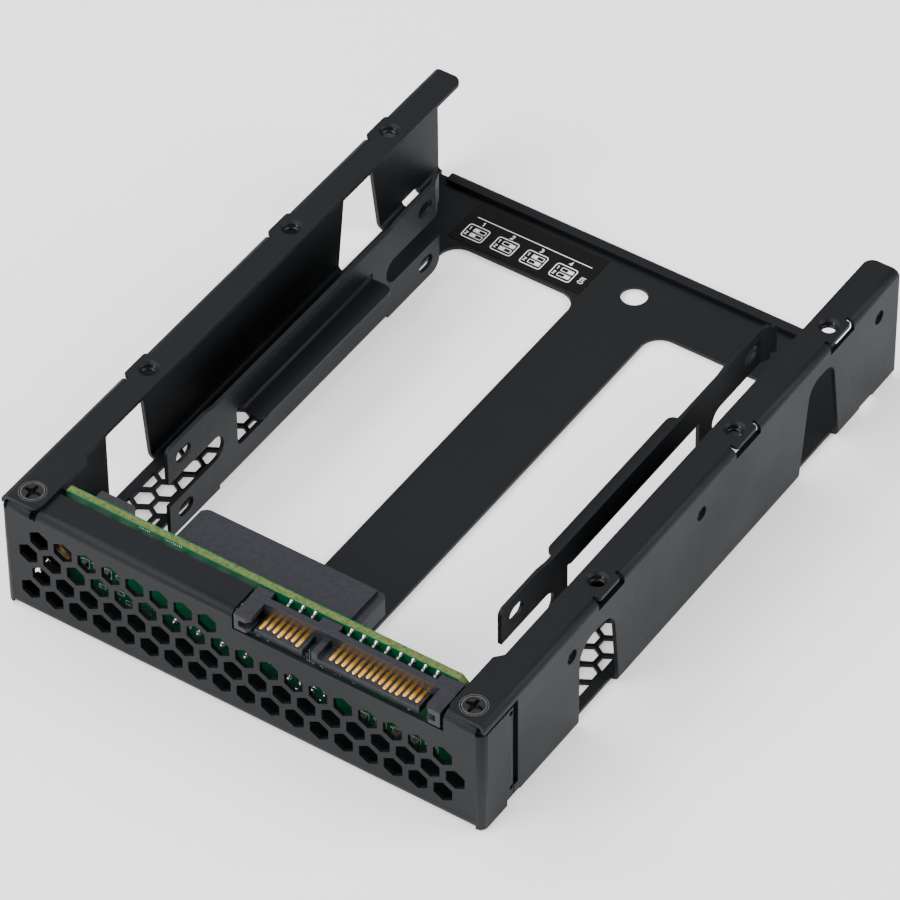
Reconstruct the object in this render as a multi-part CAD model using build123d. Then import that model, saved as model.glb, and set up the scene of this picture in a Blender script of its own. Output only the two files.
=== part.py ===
"""Adapter tray that carries two stacked 2.5 inch drives in the outline of one 3.5 inch drive.

Millimetres. X is the width and +X the right side, the honeycomb front panel faces -Y and +Z is up.
The base sheet lies down and the flanges with the 3.5 inch bottom holes are on top.
The origin is at the bottom centre. Depths are measured back from the face of the front panel.
"""
import math
import os

from build123d import *

# Outline of a 3.5 inch drive, and the folded sheet
width = 101.6
length = 136.0
height = 26.1
sheet = 0.8
bend_inside = 0.8

# The holes of a 3.5 inch drive: the first two from the datum, the third ones from the rear end
datum_depth = -0.875
bottom_hole_inset = 3.175
bottom_hole_first = 41.28
bottom_hole_second = 85.73
bottom_hole_third_inset = 19.395
side_hole_first = 28.5
side_hole_second = 70.11
side_hole_third_inset = 6.775
side_hole_drop = 6.35
tapped_hole_r = 1.45
tapped_rim_r = 2.05
tapped_rim_depth = 0.5
tapped_collar_r = 2.1
tapped_collar_length = 1.2

# Flanges along the top of the side walls
flange_width = 6.6
flange_front_width = 8.0
flange_front_length = 15.1
flange_step_length = 1.6
flange_front_gap = 0.6
flange_corner_r = 2.0
tab_ahead = 3.7
tab_behind = 2.9
tab_slit_ahead = 0.65
tab_slit_behind = 0.85
tab_slit_depth = 1.5
tab_corner_r = 0.7
tab_inset = 0.2

# Cut-outs of the side walls
front_window_start = 30.0
front_window_length_top = 11.0
front_window_length_bottom = 13.0
front_window_drop = 5.5
front_window_r = 4.4
rear_window_inset = 33.6
rear_window_length_bottom = 14.2
rear_window_length_top = 8.0
rear_window_drop = 3.9
rear_window_r = 3.6
fold_slot_inset = 12.2
fold_slot_length = 4.9

# Front panel with its corner ears and strips
ear_length = 9.3
ear_wall_gap = 1.5
ear_top_gap = 1.8
ear_foot = 0.3
ear_foot_length = 7.5
fold_notch_end = 12.0
wall_strip_height = 3.7
wall_strip_gap = 0.2
corner_tab_width = 4.8
top_strip_depth = 6.8
panel_notch_width = 1.4
panel_notch_depth = 1.5
corner_tab_depth = 8.2
plug_window_rise = 0.4
plug_window_gap = 0.35
hex_flats = 3.9
hex_pitch = 5.153
hex_row_spacing = 4.46
hex_bottom_row = 5.8
hex_side_margin = 4.0
hex_top_margin = 2.0
hex_plug_margin = 1.5
board_tab_foot = 4.0
board_tab_drop = 1.1
board_tab_reach = 11.6
board_tab_relief_r = 0.55

# Countersunk corner screws
corner_screw_inset = 4.4
corner_screw_depth = 4.0
corner_screw_head_r = 2.55
corner_screw_r = 1.45
corner_screw_length = 5.0
screw_clearance = 0.05
recess_width = 0.55
recess_span = 2.7
recess_depth = 0.8

# Base sheet
spine_width = 16.4
opening_front = 24.0
opening_rear_inset = 15.4
opening_r = 4.0
locating_hole_r = 2.6
locating_hole_inset = 9.2
hem_end_inset = 4.3
hem_depth = 2.6
hem_gap = 0.3
strip_hex_flats = 3.6
strip_hex_pitch = 4.36
strip_hex_last = 60.1
strip_hex_rows = 13
strip_wall_margin = 3.6
strip_rail_margin = 3.45

# Bay for the drives: a 2.5 inch drive is 69.85 wide, with side holes 14.0 and 90.6 from its front end,
# and the rails are as long as it takes to reach the rear pair
bay_width = 70.1
bay_front = 19.0
drive_hole_first = 14.0
rear_slot_inset = 4.5
drive_hole_rise = 3.0
lower_drive_rise = 0.6
upper_hole_drop = 8.2
slot_r = 1.6
slot_length = 4.4

# Drive rails
rail_front = 28.2
rail_rear_gap = 6.5
rail_above_hole = 3.2
rail_end_rise = 0.6
rail_end_length = 12.0
rail_slope_length = 3.0
rail_arm_foot = 0.35
rail_joined_start = 43.3
rail_rear_arm = 17.1
rail_relief = 1.2
notch_above_hole = 3.7
notch_below_hole = 4.3
notch_front_end = 45.0
notch_rear_length = 17.4
rail_window_start = 49.2
rail_window_inset = 21.8
rail_window_floor = 6.2
rail_window_r = 1.2
shelf_start = 50.7
shelf_inset = 22.4
shelf_reach = 5.0
shelf_drop = 0.3
shelf_corner_r = 1.6
rail_corner_r = 1.4
rail_heel_r = 2.5
flare_inset = 1.1
flare_length = 3.7
flare_angle = 24.0
flare_trim = 1.2

# Circuit board
board_side_gap = 8.0
board_depth = 7.9
board_thickness = 1.6
board_foot = 1.9
board_drop = 0.6
board_corner = 1.5
board_wing_r = 4.0
board_hole_r = 1.35
board_screw_r = 1.2
board_screw_head_r = 3.4
board_screw_head = 1.5
board_screw_bevel = 0.5
board_screw_length = 4.0
board_screw_inset = 5.6
board_screw_height = 9.2

# Host plug, with the signal tongue on the left and the power tongue on the right
plug_inset = 30.12
plug_width = 42.75
plug_drop = 0.9
plug_height = 4.6
plug_bar_depth = 3.1
plug_tail_pocket = 1.6
plug_post_width = 3.2
plug_post_drop = 0.25
plug_post_wall = 1.0
plug_post_roof = 1.2
plug_post_chamfer = 0.8
tongue_drop = 2.55
tongue_thickness = 1.25
tongue_start = 0.8
signal_tongue_start = -17.6
signal_tongue_end = -7.6
power_tongue_start = -4.4
power_tongue_end = 16.6
key_width = 0.6
key_height = 1.2
border_height = 0.4
end_wall_width = 1.3
end_wall_height = 1.15
contact_pitch = 1.27
contact_width = 0.75
contact_thickness = 0.15
contact_setback = 0.5
contact_step = 0.5
long_signal_contacts = (0, 3, 6)
long_power_contacts = (3, 4, 5, 9, 10, 11)
signal_contacts = 7
power_contacts = 15
first_signal_contact = -16.7
first_power_contact = -2.4
tail_size = 0.5
tail_offset = 0.45
tail_rise = 0.9

# Sockets that the two drives plug into
socket_centre = -4.0
socket_half_width = 17.85
socket_guide = 1.75
socket_height = 4.8
socket_above_drive = 4.6
socket_reach = 13.15
socket_guide_extra = 0.5
socket_guide_drop = 0.8
socket_guide_chamfer = 0.9
socket_cavity_depth = 5.0
socket_cavity_clearance = 0.2
socket_contact_plane = 2.5
socket_pocket_depth = 0.8
socket_pocket_length = 1.2
socket_pocket_start = 0.4
spring_length = 4.4
solder_pin = 0.6
solder_pin_height = 0.6
low_pin_rise = 1.68
high_pin_rise = 4.32

# Mode switch with two sliders
switch_width = 7.2
switch_height = 5.5
switch_depth = 3.0
switch_inset = 4.3
switch_drop = 1.4
switch_pitch = 2.54
slider_length = 1.9
slider_height = 1.1
slider_proud = 0.6
slider_clearance = 0.15
slider_slot_length = 4.6
slider_slot_depth = 1.5

# Chips and small parts on the board
controller_size = 7.0
controller_thickness = 0.9
controller_x = 5.0
memory_width = 4.9
memory_height = 3.9
memory_thickness = 1.5
memory_x = -7.0
regulator_size = 3.0
regulator_thickness = 0.9
inductor_size = 5.2
inductor_thickness = 2.8
power_parts_inset = 16.0
power_parts_drop = 8.5
power_parts_pitch = 6.5
crystal_x = 14.0
crystal_width = 3.2
crystal_height = 2.5
crystal_thickness = 0.8
chip_length = 1.6
chip_width = 0.8
chip_thickness = 0.6
chip_row_pitch = 2.4

# Settings label on the base sheet
label_side_gap = 12.7
label_width = 29.3
label_depth = 10.8
label_inset = 14.7
label_thickness = 0.1

# Values that follow from the sizes above
bend_outside = bend_inside + sheet
half_width = width / 2
wall_inside = half_width - sheet
fold_x = half_width - bend_outside
lid_under = height - sheet
wall_front = ear_length + ear_wall_gap
ear_top = height - sheet - ear_top_gap
rail_inside = bay_width / 2
rail_outside = rail_inside + sheet
rail_fold_x = rail_inside + bend_outside
lower_hole_z = sheet + lower_drive_rise + drive_hole_rise
upper_hole_z = height - upper_hole_drop
drive_pitch = upper_hole_z - lower_hole_z
shelf_top = upper_hole_z - drive_hole_rise - shelf_drop
opening_rear = length - opening_rear_inset
rail_rear = opening_rear - rail_rear_gap
rail_height = upper_hole_z + rail_above_hole
rail_joined_end = rail_rear - rail_rear_arm
shelf_end = rail_rear - shelf_inset
flare_start = rail_rear - flare_inset
drive_slots = (bay_front + drive_hole_first, rail_rear - rear_slot_inset)
board_rear = board_depth + board_thickness
board_half = wall_inside - board_side_gap
board_top = height - board_drop
board_hole_x = wall_inside - board_screw_inset
board_tab_edge = wall_inside - board_tab_reach
board_tab_top = ear_top - board_tab_drop
plug_centre = half_width - plug_inset
plug_left = plug_centre - plug_width / 2
plug_right = plug_centre + plug_width / 2
plug_top = height - plug_drop
plug_floor = plug_top - plug_height
plug_window_floor = plug_floor + plug_window_rise
tongue_top = plug_top - tongue_drop
switch_left = switch_inset - board_half
switch_top = board_top - switch_drop
bottom_hole_x = half_width - bottom_hole_inset
bottom_holes = [bottom_hole_first + datum_depth, bottom_hole_second + datum_depth]
bottom_holes.append(length - bottom_hole_third_inset)
side_holes = [side_hole_first + datum_depth, side_hole_second + datum_depth]
side_holes.append(length - side_hole_third_inset)
side_hole_z = height - side_hole_drop
reach_past = 2.0


def y_at(depth):
    """Y of a depth behind the face of the front panel."""
    return depth - length / 2


def block(x0, x1, d0, d1, z0, z1):
    """Box between two X values, two depths and two heights."""
    centre = ((x0 + x1) / 2, y_at((d0 + d1) / 2), (z0 + z1) / 2)
    return Pos(*centre) * Box(x1 - x0, d1 - d0, z1 - z0)


def centred(x, size_x, d0, d1, z, size_z):
    """Box between two depths, centred on an X and a height."""
    return block(x - size_x / 2, x + size_x / 2, d0, d1, z - size_z / 2, z + size_z / 2)


def upright_pin(x, depth, radius, z0, z1):
    """Cylinder along Z."""
    return Pos(x, y_at(depth), (z0 + z1) / 2) * Cylinder(radius, z1 - z0)


def cross_pin(x0, x1, depth, radius, z):
    """Cylinder along X."""
    return Pos((x0 + x1) / 2, y_at(depth), z) * Rot(0, 90, 0) * Cylinder(radius, x1 - x0)


def deep_pin(x, d0, d1, radius, z):
    """Cylinder along Y."""
    return Pos(x, y_at((d0 + d1) / 2), z) * Rot(90, 0, 0) * Cylinder(radius, d1 - d0)


def side_cut(points, x0, x1, rounded):
    """Prism along X from (depth, height) points; rounded gives a radius for some of the points."""
    outline = Polyline(*[(y_at(d), z) for d, z in points], close=True)
    face = make_face(outline)
    for index, radius in rounded.items():
        spot = Vector(y_at(points[index][0]), points[index][1])
        corner = min(face.vertices(), key=lambda v: (Vector(v.X, v.Y) - spot).length)
        face = fillet(corner, radius)
    plane = Plane(origin=(x0, 0, 0), x_dir=(0, 1, 0), z_dir=(1, 0, 0))
    return extrude(plane * face, amount=x1 - x0)


def copies(space, pitch):
    """How many copies fit in a space, with the first and the last at its ends."""
    return int(space / pitch) + 1


def rounded_slot(x0, x1, depth, z, slot_len, radius):
    """Slot through a side wall or rail, long along Y."""
    middle = slot_len / 2 - radius
    cut = block(x0, x1, depth - middle, depth + middle, z - radius, z + radius)
    cut += cross_pin(x0, x1, depth - middle, radius, z)
    return cut + cross_pin(x0, x1, depth + middle, radius, z)


def mirrored(shape):
    """The same piece on the other side."""
    return mirror(shape, about=Plane.YZ)


def fold(inner, outer):
    """Face of a quarter ring that fills the corner towards plus both axes."""
    ring = make_face(Polyline((0, 0), (outer, 0), (outer, outer), (0, outer), close=True))
    return (Circle(outer) - Circle(inner)) & ring


def drive_frame_wall():
    """Right side wall with its bottom bend, top bend and flange."""
    section = RectangleRounded(width, height, bend_outside)
    section -= RectangleRounded(width - 2 * sheet, height - 2 * sheet, bend_inside)
    tube = extrude(Plane.XZ.offset(-length / 2) * Pos(0, height / 2) * section, amount=length)
    wall = tube & block(fold_x, half_width, 0, length, 0, height)
    flange_x = wall_inside + sheet - flange_width
    front_x = half_width - flange_front_width
    step_end = flange_front_length + flange_step_length
    corners = [
        (fold_x, flange_front_gap),
        (front_x, flange_front_gap),
        (front_x, flange_front_length),
        (flange_x, step_end),
        (flange_x, length),
        (fold_x, length),
    ]
    flange = make_face(Polyline(*[(x, y_at(d)) for x, d in corners], close=True))
    edge = [v for v in flange.vertices() if v.X < fold_x - flange_corner_r]
    ends = [min(edge, key=lambda v: v.Y), max(edge, key=lambda v: v.Y)]
    flange = fillet(ends, flange_corner_r)
    wall += extrude(Pos(0, 0, lid_under) * flange, amount=sheet)
    past = half_width + reach_past
    wall -= block(0, past, -reach_past, flange_front_gap, 0, height)
    # Room for the ear, and the slit behind it
    strip_top = ear_top + ear_top_gap / 3
    inner = wall_inside - bend_outside
    wall -= block(inner, past, -1, wall_front, wall_strip_height, strip_top)
    strip_start = ear_length + wall_strip_gap
    wall -= block(inner, past, -1, strip_start, -1, strip_top)
    wall -= block(inner, past, -1, fold_notch_end, -1, bend_outside)
    # Flat tabs round the bottom holes
    for depth in bottom_holes:
        slit_start = depth - tab_ahead - tab_slit_ahead
        slit_end = depth + tab_behind + tab_slit_behind
        slit_z = lid_under - tab_slit_depth
        wall -= block(fold_x, past, slit_start, slit_end, slit_z, height + 1)
        tab_start = depth - tab_ahead
        tab_end = depth + tab_behind
        tab = block(fold_x - 1, half_width - tab_inset, tab_start, tab_end, lid_under, height)
        tips = tab.edges().filter_by(Axis.Z).group_by(Axis.X)[-1]
        wall += fillet(tips, tab_corner_r)
    # Tapped holes with their collars
    for depth in bottom_holes:
        x = bottom_hole_x
        wall += upright_pin(x, depth, tapped_collar_r, lid_under - tapped_collar_length, lid_under)
        wall -= upright_pin(x, depth, tapped_hole_r, 0, height + 1)
        rim = Pos(x, y_at(depth), height - tapped_rim_depth / 2)
        wall -= rim * Cone(tapped_hole_r, tapped_rim_r, tapped_rim_depth)
    collar_end = wall_inside - tapped_collar_length
    for depth in side_holes:
        wall += cross_pin(collar_end, wall_inside, depth, tapped_collar_r, side_hole_z)
        wall -= cross_pin(collar_end - 1, past, depth, tapped_hole_r, side_hole_z)
    # Windows and the slot in the fold
    start = front_window_start
    crown = lid_under - front_window_drop
    arch = [
        (start, -1),
        (start, crown),
        (start + front_window_length_top, crown),
        (start + front_window_length_bottom, -1),
    ]
    wall -= side_cut(arch, fold_x - 1, past, {1: front_window_r, 2: front_window_r})
    start = length - rear_window_inset
    crown = lid_under - rear_window_drop
    lead = (rear_window_length_bottom - rear_window_length_top) / 2
    arch = [
        (start, -1),
        (start + lead, crown),
        (start + lead + rear_window_length_top, crown),
        (start + rear_window_length_bottom, -1),
    ]
    wall -= side_cut(arch, fold_x - 1, past, {1: rear_window_r, 2: rear_window_r})
    slot_start = length - fold_slot_inset
    wall -= block(fold_x - 1, past, slot_start, slot_start + fold_slot_length, -1, bend_outside)
    # Countersunk hole for the corner screw
    x = half_width - corner_screw_inset
    small_r = corner_screw_r + screw_clearance
    wall -= upright_pin(x, corner_screw_depth, small_r, lid_under - 1, height + 1)
    sink = Pos(x, y_at(corner_screw_depth), height - sheet / 2)
    wall -= sink * Cone(small_r, corner_screw_head_r + screw_clearance, sheet)
    return wall


def drive_rail():
    """Right drive rail, folded up from the inner edge of the base strip."""
    arm_foot = rail_arm_foot
    front_flat = rail_front + rail_end_length
    rear_flat = rail_rear - rail_end_length
    high = rail_height + rail_end_rise
    outline = [
        (rail_front, arm_foot),
        (rail_front, high),
        (front_flat, high),
        (front_flat + rail_slope_length, rail_height),
        (rear_flat - rail_slope_length, rail_height),
        (rear_flat, high),
        (rail_rear, high),
        (rail_rear, arm_foot),
        (rail_joined_end, arm_foot),
        (rail_joined_end, bend_outside),
        (rail_joined_start, bend_outside),
        (rail_joined_start, arm_foot),
    ]
    rounded = {0: rail_corner_r, 1: rail_corner_r, 7: rail_heel_r}
    rail = side_cut(outline, rail_inside, rail_outside, rounded)
    # The fold into the base strip
    section = Rot(0, 0, 180) * fold(bend_inside, bend_outside)
    corner = (rail_fold_x, y_at(rail_joined_start), bend_outside)
    place = Plane(origin=corner, x_dir=(1, 0, 0), z_dir=(0, -1, 0))
    rail += extrude(place * section, amount=rail_joined_start - rail_joined_end)
    # Notches that fork both ends
    notch_floor = lower_hole_z + notch_above_hole
    arm_floor = upper_hole_z - notch_below_hole
    notch_r = (arm_floor - notch_floor) / 2
    notch_z = notch_floor + notch_r
    out_a = rail_inside - 1
    out_b = rail_outside + 1
    front_end = notch_front_end - notch_r
    rear_start = rail_rear - notch_rear_length + notch_r
    rail -= block(out_a, out_b, rail_front - 1, front_end, notch_floor, arm_floor)
    rail -= cross_pin(out_a, out_b, front_end, notch_r, notch_z)
    rail -= block(out_a, out_b, rear_start, rail_rear + 1, notch_floor, arm_floor)
    rail -= cross_pin(out_a, out_b, rear_start, notch_r, notch_z)
    # Window that the shelf is bent out of
    window_top = shelf_top + bend_inside
    window_end = rail_rear - rail_window_inset
    window = [
        (rail_window_start, rail_window_floor),
        (rail_window_start, window_top),
        (window_end, window_top),
        (window_end, rail_window_floor),
    ]
    rail -= side_cut(window, out_a, out_b, {0: rail_window_r, 3: rail_window_r})
    shelf_root = rail_inside - bend_inside
    corner = (shelf_root, y_at(shelf_start), window_top)
    place = Plane(origin=corner, x_dir=(1, 0, 0), z_dir=(0, -1, 0))
    section = Rot(0, 0, -90) * fold(bend_inside, bend_outside)
    rail += extrude(place * section, amount=shelf_start - shelf_end)
    shelf_tip = rail_inside - shelf_reach
    shelf = block(shelf_tip, shelf_root, shelf_start, shelf_end, shelf_top - sheet, shelf_top)
    tips = shelf.edges().filter_by(Axis.Z).group_by(Axis.X)[0]
    rail += fillet(tips, shelf_corner_r)
    # The rear end of the upper arm turns outwards as a lead-in
    rail -= block(out_a, out_b, flare_start, rail_rear + 1, arm_floor - 1, high + 1)
    turn = math.radians(flare_angle)
    along = (math.sin(turn), math.cos(turn))
    half_turn = math.tan(turn / 2) * sheet
    inner_start = Vector(rail_inside, y_at(flare_start))
    inner_end = inner_start + Vector(along[0], along[1]) * flare_length
    outer_end = inner_end + Vector(along[1], -along[0]) * sheet
    outer_start = Vector(rail_outside, y_at(flare_start) - half_turn)
    plan = [inner_start, inner_end, outer_end, outer_start]
    face = make_face(Polyline(*[(p.X, p.Y) for p in plan], close=True))
    flare = extrude(Pos(0, 0, arm_floor) * face, amount=high - arm_floor)
    tip_start = flare_start + flare_length / 2
    tip_x = rail_outside + flare_length
    flare -= block(rail_inside, tip_x, tip_start, length, arm_floor - 1, arm_floor + flare_trim)
    flare -= block(rail_inside, tip_x, tip_start, length, high - rail_end_rise, high + 1)
    rail += flare
    # Slotted holes for the drives' side screws
    for z in (lower_hole_z, upper_hole_z):
        for depth in drive_slots:
            rail -= rounded_slot(out_a, out_b, depth, z, slot_length, slot_r)
    return rail


def hexagon(flats, depth):
    """Hexagonal prism with two upright flats, standing on the XY plane."""
    return extrude(Rot(0, 0, 30) * RegularPolygon(flats / math.sqrt(3), 6), amount=depth)


def base_sheet():
    """Flat base with its openings, honeycomb strips and folded rear hem."""
    hem_outside = (2 * sheet + hem_gap) / 2
    hem_inside = hem_gap / 2
    hem_centre = length - hem_outside
    plate = block(-fold_x, fold_x, bend_outside, hem_centre, 0, sheet)
    for side in (-1, 1):
        x0 = side * spine_width / 2
        x1 = side * rail_fold_x
        hole = block(min(x0, x1), max(x0, x1), opening_front, opening_rear, -1, sheet + 1)
        plate -= fillet(hole.edges().filter_by(Axis.Z), opening_r)
        x0 = side * rail_inside
        x1 = side * (rail_fold_x + rail_relief)
        front_slot = opening_front + opening_r
        plate -= block(min(x0, x1), max(x0, x1), front_slot, rail_joined_start, -1, sheet + 1)
        rear_slot = opening_rear - opening_r
        plate -= block(min(x0, x1), max(x0, x1), rail_joined_end, rear_slot, -1, sheet + 1)
    plate -= upright_pin(0, length - locating_hole_inset, locating_hole_r, -1, sheet + 1)
    # Honeycomb in the strips beside the rails, cut off straight along both edges
    row_spacing = strip_hex_pitch * math.sqrt(3) / 2
    inner_x = rail_outside + strip_rail_margin
    outer_x = half_width - strip_wall_margin
    cell = Pos(0, 0, -1) * hexagon(strip_hex_flats, sheet + 2)
    limit = block(inner_x, outer_x, 0, length, -2, sheet + 2)
    cells = []
    for row in range(strip_hex_rows):
        depth = strip_hex_last - row * row_spacing
        shift = strip_hex_pitch / 2 if row % 2 else 0
        x = outer_x + shift
        while x > inner_x - strip_hex_flats / 2:
            overlap = min(x + strip_hex_flats / 2, outer_x) - max(x - strip_hex_flats / 2, inner_x)
            if overlap > sheet / 2:
                cells.append(Pos(x, y_at(depth), 0) * cell & limit)
            x -= strip_hex_pitch
    cells += [mirrored(piece) for piece in cells]
    plate -= cells
    # Rear hem
    bend = fold(hem_inside, hem_outside) + Rot(0, 0, -90) * fold(hem_inside, hem_outside)
    half_hem = half_width - hem_end_inset
    place = Plane(origin=(-half_hem, y_at(hem_centre), hem_outside), x_dir=(0, 1, 0), z_dir=(1, 0, 0))
    plate += extrude(place * bend, amount=2 * half_hem)
    flap_start = length - hem_depth
    plate += block(-half_hem, half_hem, flap_start, hem_centre, sheet + hem_gap, 2 * sheet + hem_gap)
    return plate


def panel():
    """Front panel with honeycomb, ears, top strip, corner tabs and turned-in board tabs."""
    top = lid_under
    plate = block(-fold_x, fold_x, 0, sheet, bend_outside, top - bend_outside)
    # Bottom fold to the base sheet
    quarter = fold(bend_inside, bend_outside)
    place = Plane(origin=(-fold_x, y_at(bend_outside), bend_outside), x_dir=(0, 1, 0), z_dir=(1, 0, 0))
    plate += extrude(place * Rot(0, 0, 180) * quarter, amount=2 * fold_x)
    # Top fold, with the long strip and the two corner tabs
    notch_x = corner_tab_width - fold_x
    strip_start = notch_x + panel_notch_width
    strip_end = plug_left - plug_window_gap
    tab_start = plug_right + 2 * plug_window_gap
    for x0, x1, depth in (
        (strip_start, strip_end, top_strip_depth),
        (-fold_x, notch_x, corner_tab_depth),
        (tab_start, fold_x, corner_tab_depth),
    ):
        place = Plane(origin=(x0, y_at(bend_outside), top - bend_outside), x_dir=(0, 1, 0), z_dir=(1, 0, 0))
        plate += extrude(place * Rot(0, 0, 90) * quarter, amount=x1 - x0)
        plate += block(x0, x1, bend_outside, depth, top - sheet, top)
    notch_floor_z = top - panel_notch_depth
    plate -= block(notch_x, strip_start, -1, bend_outside, notch_floor_z, top)
    plate -= block(strip_end, tab_start, -1, bend_outside + 1, plug_window_floor, height)
    # Corner bends and ears, and the tabs turned in behind the board
    for side in (-1, 1):
        corner = Pos(side * fold_x, y_at(bend_outside), ear_foot)
        bend = corner * Rot(0, 0, 180 if side < 0 else 270) * quarter
        plate += extrude(bend, amount=ear_top - ear_foot)
        x0 = side * wall_inside
        x1 = side * half_width
        ear_x = (min(x0, x1), max(x0, x1))
        tab_top = board_tab_top
        tab_back = board_rear + sheet
        turn_start = tab_back - bend_outside
        plate += block(*ear_x, bend_outside, ear_foot_length, ear_foot, ear_top)
        plate += block(*ear_x, ear_foot_length, ear_length, bend_outside, board_tab_foot)
        plate += block(*ear_x, ear_foot_length, turn_start, board_tab_foot, tab_top)
        plate += block(*ear_x, ear_foot_length, ear_length, tab_top, ear_top)
        corner = Pos(side * fold_x, y_at(turn_start), board_tab_foot)
        turn = corner * Rot(0, 0, 90 if side < 0 else 0) * quarter
        plate += extrude(turn, amount=tab_top - board_tab_foot)
        x0 = side * board_tab_edge
        x1 = side * fold_x
        plate += block(min(x0, x1), max(x0, x1), board_rear, tab_back, board_tab_foot, tab_top)
        for z in (board_tab_foot, tab_top):
            x0 = side * (wall_inside - 1)
            x1 = side * (half_width + 1)
            plate -= cross_pin(min(x0, x1), max(x0, x1), turn_start, board_tab_relief_r, z)
        hole = board_screw_r + screw_clearance
        plate -= deep_pin(side * board_hole_x, board_rear - 1, tab_back + 1, hole, board_screw_height)
        x = side * (half_width - corner_screw_inset)
        plate -= upright_pin(x, corner_screw_depth, corner_screw_r + screw_clearance, top - 2, top + 1)
    # Honeycomb, with shorter rows beside the plug
    hole = hexagon(hex_flats, sheet + 2)
    cell = Plane(origin=(0, y_at(-1), 0), x_dir=(1, 0, 0), z_dir=(0, 1, 0)) * hole
    tip = hex_flats / math.sqrt(3)
    columns = copies(2 * (fold_x - hex_side_margin) - hex_pitch / 2, hex_pitch)
    first_x = -(columns - 0.5) * hex_pitch / 2
    rows = copies(top - bend_outside - hex_top_margin - tip - hex_bottom_row, hex_row_spacing)
    full_rows = copies(plug_window_floor - hex_plug_margin - tip - hex_bottom_row, hex_row_spacing)
    for row in range(rows):
        x = first_x + (hex_pitch / 2 if row % 2 else 0)
        count = columns if row < full_rows else copies(strip_end - hex_flats - x, hex_pitch)
        z = hex_bottom_row + row * hex_row_spacing
        plate -= [Pos(x + column * hex_pitch, 0, z) * cell for column in range(count)]
    return plate


def corner_screw(side):
    """Countersunk screw with a cross recess."""
    head = Pos(0, 0, height - sheet / 2) * Cone(corner_screw_r, corner_screw_head_r, sheet)
    low = height - corner_screw_length
    shank = Pos(0, 0, (low + lid_under) / 2) * Cylinder(corner_screw_r, lid_under - low)
    screw = head + shank
    floor = Pos(0, 0, height - recess_depth / 2)
    screw -= floor * Box(recess_span, recess_width, recess_depth)
    screw -= floor * Box(recess_width, recess_span, recess_depth)
    return Pos(side * (half_width - corner_screw_inset), y_at(corner_screw_depth), 0) * screw


def board():
    """Upright circuit board between the front panel and the drives, with a round wing at each side."""
    plate = block(-board_half, board_half, board_depth, board_rear, board_foot, board_top)
    corner = plate.edges().filter_by(Axis.Y).sort_by(lambda e: -e.center().X - e.center().Z)[0]
    plate = chamfer(corner, board_corner)
    wing_low = board_screw_height - board_wing_r
    wing_high = board_screw_height + board_wing_r
    plate += block(-board_hole_x, board_hole_x, board_depth, board_rear, wing_low, wing_high)
    for side in (-1, 1):
        x = side * board_hole_x
        plate += deep_pin(x, board_depth, board_rear, board_wing_r, board_screw_height)
        plate -= deep_pin(x, 0, length, board_hole_r, board_screw_height)
    return plate


def board_screw(side):
    """Pan-head screw through the board into its tab."""
    x = side * board_hole_x
    z = board_screw_height
    top = board_depth - board_screw_head
    head = deep_pin(x, top, board_depth, board_screw_head_r, z)
    front = head.edges().filter_by(GeomType.CIRCLE).sort_by(Axis.Y)[0]
    head = chamfer(front, board_screw_bevel)
    screw = head + deep_pin(x, board_depth, board_depth + board_screw_length, board_screw_r, z)
    screw -= centred(x, recess_span, top, top + recess_depth, z, recess_width)
    screw -= centred(x, recess_width, top, top + recess_depth, z, recess_span)
    return screw


def plug_housing():
    """Moulded plug with two tongues, end posts and the bar on the board."""
    bar_front = board_depth - plug_bar_depth
    body = block(plug_left, plug_right, bar_front, board_depth, plug_floor, plug_top)
    # End posts, hollow towards the tongues
    post_floor = plug_window_floor + plug_window_gap
    post_top = plug_top - plug_post_drop
    for side, outer in ((1, plug_left), (-1, plug_right)):
        inner = outer + side * plug_post_width
        post = block(min(outer, inner), max(outer, inner), 0, bar_front, post_floor, post_top)
        lead = post.edges().filter_by(Axis.Z).sort_by(lambda e: e.center().Y - side * e.center().X)[0]
        post = chamfer(lead, plug_post_chamfer)
        wall_x = outer + side * plug_post_wall
        past = inner + side
        low = post_floor + plug_post_wall
        high = post_top - plug_post_roof
        body += post - block(min(wall_x, past), max(wall_x, past), -1, bar_front, low, high)
    # Tongues, each with a low border at its right end, and the wall beside the power tongue
    tongue_low = tongue_top - tongue_thickness
    for start, end in ((signal_tongue_start, signal_tongue_end), (power_tongue_start, power_tongue_end)):
        x0 = plug_centre + start
        x1 = plug_centre + end
        border = tongue_top + border_height
        body += block(x0, x1, tongue_start, bar_front, tongue_low, tongue_top)
        body += block(x1 - key_width, x1, tongue_start, bar_front, tongue_top, border)
    x0 = plug_centre + power_tongue_start
    wall_top = tongue_top + end_wall_height
    body += block(x0 - end_wall_width, x0, tongue_start, bar_front, tongue_low, wall_top)
    # Pockets over the solder tails
    for first, count in ((first_signal_contact, signal_contacts), (first_power_contact, power_contacts)):
        x0 = plug_centre + first - contact_pitch
        x1 = plug_centre + first + count * contact_pitch
        body -= block(x0, x1, board_depth - plug_tail_pocket, board_depth + 1, tongue_top, plug_top + 1)
    return body


def plug_contacts(first, count, long_ones, side):
    """Gold strips on a tongue and their solder tails behind the bar."""
    strips = []
    bar_front = board_depth - plug_bar_depth
    for index in range(count):
        x = plug_centre + first + index * contact_pitch
        start = tongue_start + contact_setback + (0 if index in long_ones else contact_step)
        half = contact_width / 2
        top = tongue_top + contact_thickness
        strips.append(block(x - half, x + half, start, bar_front, tongue_top, top))
        if index % 2 == 0:
            z = tongue_top + tail_rise
            tail_start = board_depth - plug_tail_pocket
            tail_x = x + side * tail_offset
            strips.append(centred(tail_x, tail_size, tail_start, board_depth, z, tail_size))
    return Compound(children=strips)


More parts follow.
